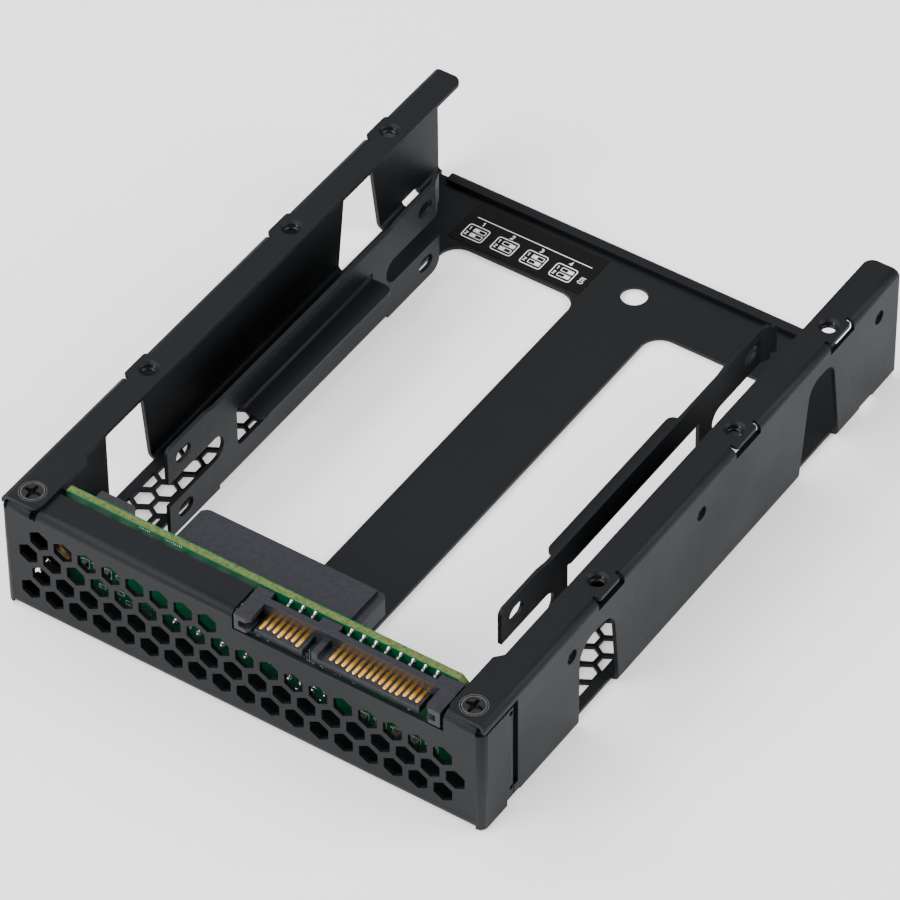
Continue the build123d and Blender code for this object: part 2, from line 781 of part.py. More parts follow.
def socket_spans():
    """X spans of the power cavity and the signal cavity, each with its key side."""
    power = (socket_centre - power_tongue_end, socket_centre - power_tongue_start)
    signal = (socket_centre - signal_tongue_end, socket_centre - signal_tongue_start)
    return power, signal


def socket_base(upper):
    """Bottom height of a socket."""
    low = sheet + lower_drive_rise + socket_above_drive - socket_height
    return low + (drive_pitch if upper else 0)


def drive_socket(upper):
    """Moulded socket on the rear of the board."""
    low = socket_base(upper)
    high = low + socket_height
    tip = board_rear + socket_reach
    x0 = socket_centre - socket_half_width
    x1 = socket_centre + socket_half_width
    body = block(x0, x1, board_rear, tip, low, high)
    for side in (-1, 1):
        a = socket_centre + side * socket_half_width
        b = socket_centre + side * (socket_half_width + socket_guide)
        guide_top = high - socket_guide_drop
        guide = block(min(a, b), max(a, b), board_rear, tip + socket_guide_extra, low, guide_top)
        outer = guide.edges().filter_by(Axis.Z).sort_by(lambda e: -e.center().Y - side * e.center().X)[0]
        body += chamfer(outer, socket_guide_chamfer)
    gap = socket_cavity_clearance
    plane_z = low + socket_contact_plane
    for start, end in socket_spans():
        a = start - gap
        b = end + gap
        slot_top = plane_z + tongue_thickness + gap
        back = tip - socket_cavity_depth
        body -= block(a, b, back, tip + 1, plane_z - contact_thickness, slot_top)
        key_end = a + key_width + 2 * gap
        body -= block(a, key_end, back, tip + 1, plane_z - key_height - gap, plane_z)
    # Shallow pockets over the contact roots
    for first, count in ((first_signal_contact, signal_contacts), (first_power_contact, power_contacts)):
        b = socket_centre - first + contact_pitch
        a = socket_centre - first - count * contact_pitch
        start = board_rear + socket_pocket_start
        body -= block(a, b, start, start + socket_pocket_length, high - socket_pocket_depth, high + 1)
    return body


def socket_contacts(upper):
    """Spring strips in the cavities and the soldered pins on the front of the board."""
    strips = []
    low = socket_base(upper)
    plane_z = low + socket_contact_plane
    tip = board_rear + socket_reach
    for first, count in ((first_signal_contact, signal_contacts), (first_power_contact, power_contacts)):
        for index in range(count):
            x = socket_centre - first - index * contact_pitch
            half = contact_width / 2
            start = tip - socket_cavity_depth
            low_z = plane_z - contact_thickness
            strips.append(block(x - half, x + half, start, start + spring_length, low_z, plane_z))
            z = low + (low_pin_rise if index % 2 else high_pin_rise)
            front = board_depth - solder_pin_height
            strips.append(centred(x, solder_pin, front, board_depth, z, solder_pin))
    return Compound(children=strips)


def slider_z(index):
    """Height of a switch slider's centre."""
    middle = switch_top - switch_height / 2
    return middle + (switch_pitch / 2 if index == 0 else -switch_pitch / 2)


def switch_body():
    """Body of the two-way mode switch."""
    right = switch_left + switch_width
    switch_foot = switch_top - switch_height
    body = block(switch_left, right, board_rear, board_rear + switch_depth, switch_foot, switch_top)
    middle = switch_left + switch_width / 2
    for index in (0, 1):
        face = board_rear + switch_depth
        slot = slider_height + 2 * slider_clearance
        floor = face - slider_slot_depth
        body -= centred(middle, slider_slot_length, floor, face + 1, slider_z(index), slot)
    return body


def switch_slider(index):
    """One slider; the first rests at the right end of its slot and the second at the left end."""
    middle = switch_left + switch_width / 2
    away = slider_slot_length / 2 - slider_clearance - slider_length / 2
    x = middle + (away if index == 0 else -away)
    face = board_rear + switch_depth
    inner = face - slider_slot_depth + slider_clearance
    return centred(x, slider_length, inner, face + slider_proud, slider_z(index), slider_height)


def on_front(x, z, size_x, size_z, thickness):
    """A part lying on the front face of the board."""
    return centred(x, size_x, board_depth - thickness, board_depth, z, size_z)


def on_rear(x, z, size_x, size_z, thickness):
    """A part lying on the rear face of the board."""
    return centred(x, size_x, board_rear, board_rear + thickness, z, size_z)


parts = {}
right_wall = drive_frame_wall()
right_rail = drive_rail()
parts["right_side_wall"] = right_wall
parts["left_side_wall"] = mirrored(right_wall)
parts["right_drive_rail"] = right_rail
parts["left_drive_rail"] = mirrored(right_rail)
parts["base_plate"] = base_sheet()
parts["front_panel"] = panel()
parts["corner_screws"] = Compound(children=[corner_screw(-1), corner_screw(1)])
parts["circuit_board"] = board()
parts["board_screws"] = Compound(children=[board_screw(-1), board_screw(1)])
parts["host_plug"] = plug_housing()
signal = plug_contacts(first_signal_contact, signal_contacts, long_signal_contacts, -1)
parts["host_signal_contacts"] = signal
power = plug_contacts(first_power_contact, power_contacts, long_power_contacts, 1)
parts["host_power_contacts"] = power
parts["upper_drive_socket"] = drive_socket(True)
parts["lower_drive_socket"] = drive_socket(False)
parts["upper_socket_contacts"] = socket_contacts(True)
parts["lower_socket_contacts"] = socket_contacts(False)
parts["mode_switch_body"] = switch_body()
parts["switch_slider_1"] = switch_slider(0)
parts["switch_slider_2"] = switch_slider(1)
size = controller_size
controller_z = (low_pin_rise + high_pin_rise + drive_pitch) / 2 + socket_base(False)
parts["controller_chip"] = on_front(controller_x, controller_z, size, size, controller_thickness)
parts["memory_chip"] = on_front(memory_x, controller_z, memory_width, memory_height, memory_thickness)
parts["clock_crystal"] = on_front(crystal_x, controller_z, crystal_width, crystal_height, crystal_thickness)
size = regulator_size
power_parts_x = board_half - power_parts_inset
power_parts_z = board_top - power_parts_drop
parts["regulator_chip"] = on_rear(power_parts_x, power_parts_z, size, size, regulator_thickness)
size = inductor_size
inductor_x = power_parts_x + power_parts_pitch
parts["power_inductor"] = on_rear(inductor_x, power_parts_z, size, size, inductor_thickness)
row_x = -board_hole_x + board_screw_head_r + chip_row_pitch
row_z = board_screw_height
small = []
for index in range(3):
    x = row_x + index * chip_row_pitch
    small.append(on_front(x, row_z, chip_width, chip_length, chip_thickness))
for index in range(4):
    z = power_parts_z + (index - 1.5) * chip_row_pitch
    small.append(on_rear(power_parts_x - regulator_size, z, chip_length, chip_width, chip_thickness))
parts["resistors"] = Compound(children=small)
small = []
for index in range(5):
    x = plug_centre + index * 1.5 * chip_row_pitch
    small.append(on_front(x, board_foot + plug_bar_depth, chip_length, chip_width, chip_width))
spot = controller_x + controller_size / 2 + chip_row_pitch / 2
small.append(on_front(spot, controller_z, chip_width, chip_length, chip_width))
parts["capacitors"] = Compound(children=small)
label_start = length - label_inset
label_end = label_start + label_depth
label_left = label_side_gap - half_width
label_right = label_left + label_width
label_top = sheet + label_thickness
parts["settings_label"] = block(label_left, label_right, label_start, label_end, sheet, label_top)

os.makedirs("parts", exist_ok=True)
for name, shape in parts.items():
    export_step(shape, f"parts/{name}.step")
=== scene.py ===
"""Looks of the drive bay adapter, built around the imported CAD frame. Metres, the same frame as the CAD."""
import math

import bmesh
import bpy
from mathutils import Matrix, Vector


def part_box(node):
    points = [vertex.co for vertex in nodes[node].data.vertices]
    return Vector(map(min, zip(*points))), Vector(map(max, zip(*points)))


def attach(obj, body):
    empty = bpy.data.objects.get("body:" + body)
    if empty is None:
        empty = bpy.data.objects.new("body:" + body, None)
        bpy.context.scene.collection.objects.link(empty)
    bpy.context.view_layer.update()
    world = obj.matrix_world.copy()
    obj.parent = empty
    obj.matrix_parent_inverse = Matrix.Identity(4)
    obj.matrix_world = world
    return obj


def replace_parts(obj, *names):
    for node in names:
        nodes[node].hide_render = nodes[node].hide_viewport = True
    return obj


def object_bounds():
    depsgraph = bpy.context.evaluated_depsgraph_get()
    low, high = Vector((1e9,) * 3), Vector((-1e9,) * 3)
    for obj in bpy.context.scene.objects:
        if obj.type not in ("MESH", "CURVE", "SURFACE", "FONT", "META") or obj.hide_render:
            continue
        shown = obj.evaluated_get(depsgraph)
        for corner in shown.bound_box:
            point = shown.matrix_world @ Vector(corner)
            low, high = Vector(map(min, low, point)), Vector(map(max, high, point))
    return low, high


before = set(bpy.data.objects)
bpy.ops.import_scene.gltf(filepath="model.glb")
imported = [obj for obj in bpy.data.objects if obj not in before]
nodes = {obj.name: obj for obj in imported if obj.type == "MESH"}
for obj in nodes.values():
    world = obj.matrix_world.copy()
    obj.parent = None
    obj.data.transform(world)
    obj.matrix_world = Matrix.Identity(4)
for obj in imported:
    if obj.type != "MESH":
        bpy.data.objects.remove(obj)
cad_low, cad_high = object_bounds()
MM = 0.001


def make_camera():
    """Camera at the photograph's place: 34 degrees to the right, 45 above, from far away."""
    azimuth = math.radians(34.293)
    elevation = math.radians(44.551)
    roll = math.radians(-0.573)
    # Millimetres from the middle of the front's foot, along the camera's own axes
    foot = Vector((0, -68.875, 0.7))
    to_right = 36.971
    to_top = 46.102
    distance = 1125.528
    level = math.cos(elevation)
    back = Vector((math.sin(azimuth) * level, -math.cos(azimuth) * level, math.sin(elevation)))
    flat_right = Vector((0, 0, 1)).cross(back).normalized()
    flat_up = back.cross(flat_right)
    right = flat_right * math.cos(roll) + flat_up * math.sin(roll)
    up = flat_up * math.cos(roll) - flat_right * math.sin(roll)
    place = right * to_right + up * to_top + back * distance + foot
    data = bpy.data.cameras.new("studio_camera")
    data.sensor_width = 36
    data.lens = 258.5
    data.clip_start = 0.05
    data.clip_end = 20
    camera = bpy.data.objects.new("studio_camera", data)
    turn = Matrix((right, up, back)).transposed().to_4x4()
    camera.matrix_world = Matrix.Translation(place * MM) @ turn
    bpy.context.scene.collection.objects.link(camera)
    bpy.context.scene.camera = camera


make_camera()


# Materials

class Paint:
    """A node material under construction: a Principled shader and the usual helpers."""

    def __init__(self, name, color, rough, metallic=0.0, specular=0.5):
        self.material = bpy.data.materials.new(name)
        self.material.use_nodes = True
        self.tree = self.material.node_tree
        self.shader = self.tree.nodes["Principled BSDF"]
        self.shader.inputs["Base Color"].default_value = (*color, 1)
        self.shader.inputs["Roughness"].default_value = rough
        self.shader.inputs["Metallic"].default_value = metallic
        self.shader.inputs["Specular IOR Level"].default_value = specular
        self.place = self.tree.nodes.new("ShaderNodeTexCoord").outputs["Object"]

    def link(self, a, b):
        self.tree.links.new(a, b)

    def stretch(self, scale):
        """Object coordinates scaled by three factors."""
        node = self.tree.nodes.new("ShaderNodeMapping")
        node.inputs["Scale"].default_value = scale
        self.link(self.place, node.inputs["Vector"])
        return node.outputs["Vector"]

    def noise(self, scale, detail=2.0, vector=None):
        node = self.tree.nodes.new("ShaderNodeTexNoise")
        node.inputs["Scale"].default_value = scale
        node.inputs["Detail"].default_value = detail
        self.link(vector or self.place, node.inputs["Vector"])
        return node.outputs["Fac"]

    def cells(self, scale, vector=None):
        node = self.tree.nodes.new("ShaderNodeTexVoronoi")
        node.inputs["Scale"].default_value = scale
        self.link(vector or self.place, node.inputs["Vector"])
        return node.outputs["Distance"]

    def ramp(self, value, stops):
        """Colour ramp from (position, colour) stops."""
        node = self.tree.nodes.new("ShaderNodeValToRGB")
        band = node.color_ramp
        while len(band.elements) < len(stops):
            band.elements.new(0.5)
        for element, (position, color) in zip(band.elements, stops):
            element.position = position
            element.color = (*color, 1)
        self.link(value, node.inputs["Fac"])
        return node.outputs["Color"]

    def span(self, value, low, high, start=0.3, end=0.7):
        """Value mapped from start..end onto low..high."""
        node = self.tree.nodes.new("ShaderNodeMapRange")
        node.inputs["From Min"].default_value = start
        node.inputs["From Max"].default_value = end
        node.inputs["To Min"].default_value = low
        node.inputs["To Max"].default_value = high
        self.link(value, node.inputs["Value"])
        return node.outputs["Result"]

    def math(self, kind, a, b):
        node = self.tree.nodes.new("ShaderNodeMath")
        node.operation = kind
        for socket, value in zip(node.inputs, (a, b)):
            if isinstance(value, (int, float)):
                socket.default_value = value
            else:
                self.link(value, socket)
        return node.outputs["Value"]

    def bumps(self, *layers):
        """Bump from (height, strength, distance in metres) layers, one on another."""
        normal = None
        for height, strength, distance in layers:
            node = self.tree.nodes.new("ShaderNodeBump")
            node.inputs["Strength"].default_value = strength
            node.inputs["Distance"].default_value = distance
            self.link(height, node.inputs["Height"])
            if normal:
                self.link(normal, node.inputs["Normal"])
            normal = node.outputs["Normal"]
        self.link(normal, self.shader.inputs["Normal"])

    def color(self, output):
        self.link(output, self.shader.inputs["Base Color"])

    def rough(self, output):
        self.link(output, self.shader.inputs["Roughness"])


def powder_coat():
    """Fine black powder coat: orange-peel surface, fine grain and faint cloudiness."""
    paint = Paint("powder_coat", (0.006, 0.0064, 0.0072), 0.54, 0.0, 0.2)
    paint.shader.inputs["Specular Tint"].default_value = (0.86, 0.92, 1.0, 1)
    grain = paint.noise(3600, 3)
    peel = paint.noise(900, 2)
    cloud = paint.noise(42, 4)
    mottle = paint.math("ADD", paint.math("MULTIPLY", grain, 0.6), paint.math("MULTIPLY", cloud, 0.4))
    deep = (0.004, 0.0043, 0.0049)
    light = (0.0078, 0.0083, 0.0093)
    paint.color(paint.ramp(mottle, [(0.3, deep), (0.7, light)]))
    paint.rough(paint.span(cloud, 0.48, 0.58))
    paint.bumps((peel, 0.14, 0.0002), (grain, 0.5, 0.00007))
    return paint.material


def black_oxide():
    """Screw steel with a thin, slightly cloudy black finish."""
    paint = Paint("black_oxide", (0.008, 0.008, 0.009), 0.4, 0.2, 0.3)
    paint.rough(paint.span(paint.noise(1500, 3), 0.3, 0.46))
    deep = (0.005, 0.005, 0.006)
    light = (0.012, 0.012, 0.013)
    paint.color(paint.ramp(paint.noise(700, 2), [(0.35, deep), (0.7, light)]))
    paint.bumps((paint.noise(2600, 2), 0.2, 0.00004))
    return paint.material


def shade_darkened_brass():
    """Brass plating with a fine grain, its colour darkened as painted shade for the screw heads behind the
    panel.
    """
    paint = Paint("shade_darkened_brass", (0.06, 0.043, 0.023), 0.32, 1.0)
    deep = (0.045, 0.031, 0.016)
    light = (0.085, 0.06, 0.033)
    paint.color(paint.ramp(paint.noise(600, 3), [(0.3, deep), (0.7, light)]))
    paint.rough(paint.span(paint.noise(1800, 2), 0.22, 0.4))
    paint.bumps((paint.noise(2400, 2), 0.15, 0.00003))
    return paint.material


def gold():
    """Gold plating over drawn strips: fine lines along them and a little cloudiness."""
    paint = Paint("gold_plating", (0.88, 0.44, 0.07), 0.28, 1.0)
    paint.color(paint.ramp(paint.noise(500, 2), [(0.3, (0.82, 0.38, 0.05)), (0.7, (0.95, 0.52, 0.1))]))
    drawn = paint.noise(900, 3, paint.stretch((6, 0.25, 1)))
    paint.rough(paint.span(drawn, 0.24, 0.36))
    paint.bumps((drawn, 0.12, 0.00003))
    return paint.material


def silk_ink():
    """White legend ink on the board, thin and a little uneven."""
    paint = Paint("silk_ink", (0.72, 0.74, 0.72), 0.5)
    paint.color(paint.ramp(paint.noise(2400, 3), [(0.3, (0.3, 0.38, 0.34)), (0.55, (0.62, 0.66, 0.63))]))
    paint.bumps((paint.noise(2600, 2), 0.1, 0.00002))
    return paint.material


def plated_tin(name, tone):
    """Tinned metal at a given tone: the bright copy for leads and end caps, a darker copy as painted shade
    on the plug's tails, and a copy for the painted highlight rings on the screw heads.
    """
    paint = Paint(name, (tone, tone, tone * 0.98), 0.3, 1.0)
    paint.rough(paint.span(paint.noise(1900, 3), 0.2, 0.42))
    dull = (tone * 0.8, tone * 0.8, tone * 0.78)
    clean = (tone * 1.15, tone * 1.15, tone * 1.13)
    paint.color(paint.ramp(paint.noise(1100, 2), [(0.3, dull), (0.7, clean)]))
    paint.bumps((paint.noise(2400, 2), 0.15, 0.00003))
    return paint.material


def solder():
    """Bright solder, uneven in tone and gloss."""
    paint = Paint("solder", (0.66, 0.67, 0.68), 0.2, 1.0)
    paint.color(paint.ramp(paint.noise(900, 3), [(0.3, (0.5, 0.51, 0.52)), (0.7, (0.8, 0.81, 0.82))]))
    paint.rough(paint.span(paint.noise(1500, 3), 0.12, 0.32))
    paint.bumps((paint.noise(1600, 3), 0.25, 0.00005))
    return paint.material


def moulded(name, color, rough, fleck=0.25):
    """Moulded plastic with a fine spark-eroded grain."""
    paint = Paint(name, color, rough, 0.0, 0.34)
    grain = paint.noise(3000, 3)
    low = tuple(c * (1 - fleck) for c in color)
    high = tuple(c * (1 + fleck) for c in color)
    paint.color(paint.ramp(paint.noise(1300, 4), [(0.32, low), (0.68, high)]))
    paint.rough(paint.span(grain, rough - 0.07, rough + 0.07))
    paint.bumps((grain, 0.3, 0.00005), (paint.cells(1400), 0.12, 0.00004))
    return paint.material


def board_mask():
    """Glass-fibre board: green mask with faint traces on the faces and rims, bare weave between."""
    rim_width = 0.00016
    raggedness = 0.00016
    trace_width = 0.0011
    paint = Paint("board_mask", (0.02, 0.12, 0.05), 0.3, 0.0, 0.22)
    tree = paint.tree
    low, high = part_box("circuit_board")
    geometry = tree.nodes.new("ShaderNodeNewGeometry")
    facing = tree.nodes.new("ShaderNodeSeparateXYZ")
    paint.link(geometry.outputs["Normal"], facing.inputs["Vector"])
    is_face = paint.math("GREATER_THAN", paint.math("ABSOLUTE", facing.outputs["Y"], 0.0), 0.5)
    where = tree.nodes.new("ShaderNodeSeparateXYZ")
    paint.link(paint.place, where.inputs["Vector"])
    aside = paint.math("SUBTRACT", where.outputs["Y"], (low.y + high.y) / 2)
    from_middle = paint.math("ABSOLUTE", aside, 0.0)
    ragged = paint.math("MULTIPLY", paint.noise(1500, 3), raggedness)
    rim_start = (high.y - low.y) / 2 - rim_width
    is_rim = paint.math("GREATER_THAN", paint.math("ADD", from_middle, ragged), rim_start)
    traces = paint.cells(260, paint.stretch((1, 1, 0.35)))
    trace_line = paint.math("LESS_THAN", traces, trace_width)
    mask = paint.ramp(paint.noise(160, 2), [(0.4, (0.002, 0.056, 0.022)), (0.62, (0.003, 0.078, 0.031))])
    rim = paint.ramp(paint.noise(900, 3), [(0.35, (0.004, 0.085, 0.024)), (0.65, (0.015, 0.17, 0.05))])
    threads = paint.noise(2600, 2, paint.stretch((0.5, 3, 3)))
    weave = paint.math("MULTIPLY", threads, paint.noise(1300, 3))
    edge = paint.ramp(weave, [(0.12, (0.03, 0.075, 0.014)), (0.3, (0.14, 0.145, 0.045))])
    # A colour Mix node's sockets: 0 is the factor, 6 and 7 the colours, and 2 the result
    for chosen, picked in ((is_rim, rim), (is_face, mask)):
        mix = tree.nodes.new("ShaderNodeMix")
        mix.data_type = "RGBA"
        paint.link(chosen, mix.inputs[0])
        paint.link(edge, mix.inputs[6])
        paint.link(picked, mix.inputs[7])
        edge = mix.outputs[2]
    paint.color(edge)
    paint.rough(paint.span(is_face, 0.6, 0.26, 0, 1))
    paint.bumps((paint.noise(2200, 2), 0.12, 0.00004), (trace_line, 0.2, 0.00004))
    return paint.material


def label_film():
    """Black polyester label with a soft satin grain."""
    paint = Paint("label_film", (0.0022, 0.0023, 0.002), 0.45, 0.0, 0.12)
    paint.rough(paint.span(paint.noise(1800, 2), 0.36, 0.48))
    deep = (0.0016, 0.0018, 0.0014)
    light = (0.003, 0.0032, 0.0026)
    paint.color(paint.ramp(paint.noise(500, 3), [(0.3, deep), (0.7, light)]))
    paint.bumps((paint.noise(2500, 2), 0.12, 0.00003))
    return paint.material


def label_ink():
    """White label print, a little uneven."""
    paint = Paint("label_ink", (0.82, 0.82, 0.8), 0.5)
    paint.color(paint.ramp(paint.noise(2600, 3), [(0.25, (0.8, 0.8, 0.78)), (0.55, (0.97, 0.97, 0.95))]))
    paint.bumps((paint.noise(2600, 2), 0.1, 0.00002))
    return paint.material


def crystal_metal():
    """Drawn metal can of the clock crystal."""
    paint = Paint("crystal_case", (0.6, 0.6, 0.58), 0.28, 1.0)
    paint.rough(paint.span(paint.noise(1500, 3, paint.stretch((1, 1, 5))), 0.2, 0.38))
    paint.bumps((paint.noise(2600, 2), 0.15, 0.00003))
    return paint.material


def studio_floor():
    """Plain pale floor, with a glow that lights the part softly from below."""
    paint = Paint("studio_floor", (0.86, 0.86, 0.86), 0.75, 0.0, 0.2)
    paint.color(paint.ramp(paint.noise(9, 2), [(0.3, (0.85, 0.85, 0.85)), (0.7, (0.88, 0.88, 0.88))]))
    paint.shader.inputs["Emission Color"].default_value = (1, 1, 1, 1)
    paint.shader.inputs["Emission Strength"].default_value = 0.62
    return paint.material


steel = powder_coat()
oxide = black_oxide()
# Brass, darkened as painted shade
brass = shade_darkened_brass()
gilt = gold()
tin = solder()
leads = plated_tin("bright_tin", 0.5)
# Darker copy of the tin: painted shade for the plug's tails under the bar
shaded_tin = plated_tin("shaded_tin", 0.22)
# Bright steel for the rings painted as highlights on the screw heads
rim_highlight_steel = plated_tin("painted_highlight_steel", 0.2)
silk = silk_ink()
slate = moulded("slate_plastic", (0.0125, 0.013, 0.0185), 0.5)
epoxy = moulded("chip_epoxy", (0.012, 0.012, 0.012), 0.55)
ferrite = moulded("pressed_powder", (0.07, 0.07, 0.072), 0.6, 0.4)
ceramic = moulded("fired_ceramic", (0.10, 0.08, 0.058), 0.4, 0.15)
white_plastic = moulded("slider_plastic", (0.72, 0.72, 0.68), 0.42, 0.06)
switch_black = moulded("switch_plastic", (0.014, 0.014, 0.016), 0.42)
mask = board_mask()
film = label_film()
ink = label_ink()
case = crystal_metal()

SHEETS = (
    "base_plate", "left_side_wall", "right_side_wall", "left_drive_rail", "right_drive_rail", "front_panel",
)
CONNECTORS = ("host_plug", "upper_drive_socket", "lower_drive_socket")
PLUG_CONTACTS = ("host_signal_contacts", "host_power_contacts")
SOCKET_CONTACTS = ("upper_socket_contacts", "lower_socket_contacts")
CHIPS = ("controller_chip", "memory_chip", "regulator_chip")
CHIP_LIKE = CHIPS + ("power_inductor", "clock_crystal")
FINISHES = (
    (steel, SHEETS),
    (oxide, ("corner_screws",)),
    (brass, ("board_screws",)),
    (mask, ("circuit_board",)),
    (slate, CONNECTORS),
    (gilt, PLUG_CONTACTS + SOCKET_CONTACTS),
    (switch_black, ("mode_switch_body",)),
    (white_plastic, ("switch_slider_1", "switch_slider_2")),
    (epoxy, CHIPS + ("resistors",)),
    (ferrite, ("power_inductor",)),
    (case, ("clock_crystal",)),
    (ceramic, ("capacitors",)),
    (film, ("settings_label",)),
)
for material, names in FINISHES:
    for name in names:
        slots = nodes[name].data.materials
        slots.clear()
        slots.append(material)


def soften(names, width):
    """Rounds the sharp edges of CAD nodes with modifiers; their own meshes stay as they are."""
    for name in names:
        node = nodes[name]
        weld = node.modifiers.new("weld", "WELD")
        weld.merge_threshold = 1e-6
        flat = node.modifiers.new("flat", "DECIMATE")
        flat.decimate_type = "DISSOLVE"
        flat.angle_limit = math.radians(0.8)
        bevel = node.modifiers.new("bevel", "BEVEL")
        bevel.limit_method = "ANGLE"
        bevel.angle_limit = math.radians(38)
        bevel.width = width * MM
        bevel.segments = 2
        bevel.use_clamp_overlap = True
        bevel.harden_normals = True


soften(SHEETS, 0.14)
soften(CONNECTORS + ("mode_switch_body",), 0.1)
soften(CHIP_LIKE, 0.12)


# Pieces made here

def piece(name, points, faces, material, body, smooth=False):
    """Mesh piece from points in millimetres, riding on a body."""
    data = bpy.data.meshes.new(name)
    data.from_pydata([tuple(c * MM for c in p) for p in points], [], faces)
    data.materials.append(material)
    if smooth:
        data.polygons.foreach_set("use_smooth", [True] * len(data.polygons))
    data.validate()
    shell = bmesh.new()
    shell.from_mesh(data)
    bmesh.ops.recalc_face_normals(shell, faces=shell.faces)
    shell.to_mesh(data)
    shell.free()
    made = bpy.data.objects.new(name, data)
    bpy.context.scene.collection.objects.link(made)
    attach(made, body)
    return made


def from_meshes(name, meshes, material, body, smooth=False):
    """One piece from several (points, faces) meshes."""
    points = []
    faces = []
    for more_points, more_faces in meshes:
        start = len(points)
        points += more_points
        faces += [tuple(i + start for i in face) for face in more_faces]
    return piece(name, points, faces, material, body, smooth)


def prism(outline, z0, z1, place):
    """Closed prism over a counter-clockwise outline; place maps (x, y, z) to the row frame."""
    n = len(outline)
    points = [place(x, y, z0) for x, y in outline] + [place(x, y, z1) for x, y in outline]
    faces = [tuple(range(n - 1, -1, -1)), tuple(range(n, 2 * n))]
    faces += [(i, (i + 1) % n, n + (i + 1) % n, n + i) for i in range(n)]
    return points, faces


def bands(rows, count):
    """Faces between neighbouring rings, each a closed loop of count points."""
    faces = []
    for row in range(rows - 1):
        for k in range(count):
            a = row * count + k
            b = row * count + (k + 1) % count
            faces.append((a, b, b + count, a + count))
    return faces


def lathe(profile, place, segments=16):
    """Surface of revolution about the local Z axis from (radius, height) points, closed at both ends."""
    points = []
    for r, z in profile:
        for k in range(segments):
            a = 2 * math.pi * k / segments
            points.append(place(r * math.cos(a), r * math.sin(a), z))
    last = (len(profile) - 1) * segments
    caps = [tuple(range(segments - 1, -1, -1)), tuple(range(last, last + segments))]
    return points, bands(len(profile), segments) + caps


# A corner's mitre is at most 1 / LEAST_MITRE times the line's half width
LEAST_MITRE = 0.5


def mitre(points, i, width):
    """Point i of an open line, and half its width square to the line, lengthened at corners."""
    p = Vector(points[i])
    before = (p - Vector(points[i - 1])).normalized() if i else None
    after = (Vector(points[i + 1]) - p).normalized() if i < len(points) - 1 else None
    before = before or after
    after = after or before
    normal = Vector((-(before.y + after.y), before.x + after.x)).normalized()
    return p, normal * (width / 2 / max(LEAST_MITRE, normal.dot(Vector((-before.y, before.x)))))


def loop(points, width, place, z0, z1):
    """Flat closed band of the given width along a closed line."""
    n = len(points)
    inner = []
    outer = []
    for i in range(n):
        p = Vector(points[i])
        before = (p - Vector(points[i - 1])).normalized()
        after = (Vector(points[(i + 1) % n]) - p).normalized()
        normal = Vector((before.y + after.y, -before.x - after.x)).normalized()
        half = width / 2 / max(LEAST_MITRE, normal.dot(Vector((before.y, -before.x))))
        outer.append(p + normal * half)
        inner.append(p - normal * half)
    rows = []
    for z in (z0, z1):
        for line in (outer, inner):
            rows += [place(q.x, q.y, z) for q in line]
    faces = []
    for i in range(n):
        j = (i + 1) % n
        faces.append((2 * n + i, 2 * n + j, 3 * n + j, 3 * n + i))
        faces.append((i, n + i, n + j, j))
        faces.append((i, j, 2 * n + j, 2 * n + i))
        faces.append((n + j, n + i, 3 * n + i, 3 * n + j))
    return rows, faces


def rounded_box(cx, cy, width, height, radius, steps=4):
    """Counter-clockwise outline of a rounded rectangle."""
    points = []
    for k, (sx, sy) in enumerate(((1, -1), (1, 1), (-1, 1), (-1, -1))):
        x = cx + sx * (width / 2 - radius)
        y = cy + sy * (height / 2 - radius)
        for step in range(steps + 1):
            a = math.radians(-90 + 90 * k + 90 * step / steps)
            points.append((x + radius * math.cos(a), y + radius * math.sin(a)))
    return points


def stroke(points, width, place, z0, z1):
    """Flat band along an open line, mitred at its corners."""
    left = []
    right = []
    for i in range(len(points)):
        p, offset = mitre(points, i, width)
        left.append(p + offset)
        right.append(p - offset)
    outline = [(q.x, q.y) for q in right] + [(q.x, q.y) for q in reversed(left)]
    n = len(points)
    rows = [place(x, y, z0) for x, y in outline] + [place(x, y, z1) for x, y in outline]
    m = 2 * n
    faces = []
    for i in range(n - 1):
        faces.append((m + i, m + i + 1, m + m - 2 - i, m + m - 1 - i))
        faces.append((m - 1 - i, m - 2 - i, i + 1, i))
    faces += [(i, (i + 1) % m, m + (i + 1) % m, m + i) for i in range(m)]
    return rows, faces


# Line of each plain sign, in units of its height
SIGNS = {
    "1": [(-0.2, 0.28), (0.05, 0.5), (0.05, -0.5)],
    "2": [(-0.28, 0.3), (-0.1, 0.5), (0.18, 0.5), (0.3, 0.25), (-0.3, -0.5), (0.32, -0.5)],
    "3": [(-0.28, 0.42), (0.0, 0.5), (0.28, 0.28), (0.0, 0.03), (0.3, -0.22), (0.0, -0.5), (-0.3, -0.4)],
    "4": [(0.14, -0.5), (0.14, 0.5), (-0.3, -0.2), (0.34, -0.2)],
    "O": [
        (0.3, -0.3), (0.3, 0.3), (0.1, 0.5), (-0.1, 0.5), (-0.3, 0.3),
        (-0.3, -0.3), (-0.1, -0.5), (0.1, -0.5), (0.3, -0.3),
    ],
    "N": [(-0.28, -0.5), (-0.28, 0.5), (0.28, -0.5), (0.28, 0.5)],
}

# How deep print and flat pads reach into their surface and how far print stands out of it, in millimetres
INK_LOW = -0.01
INK_HIGH = 0.02


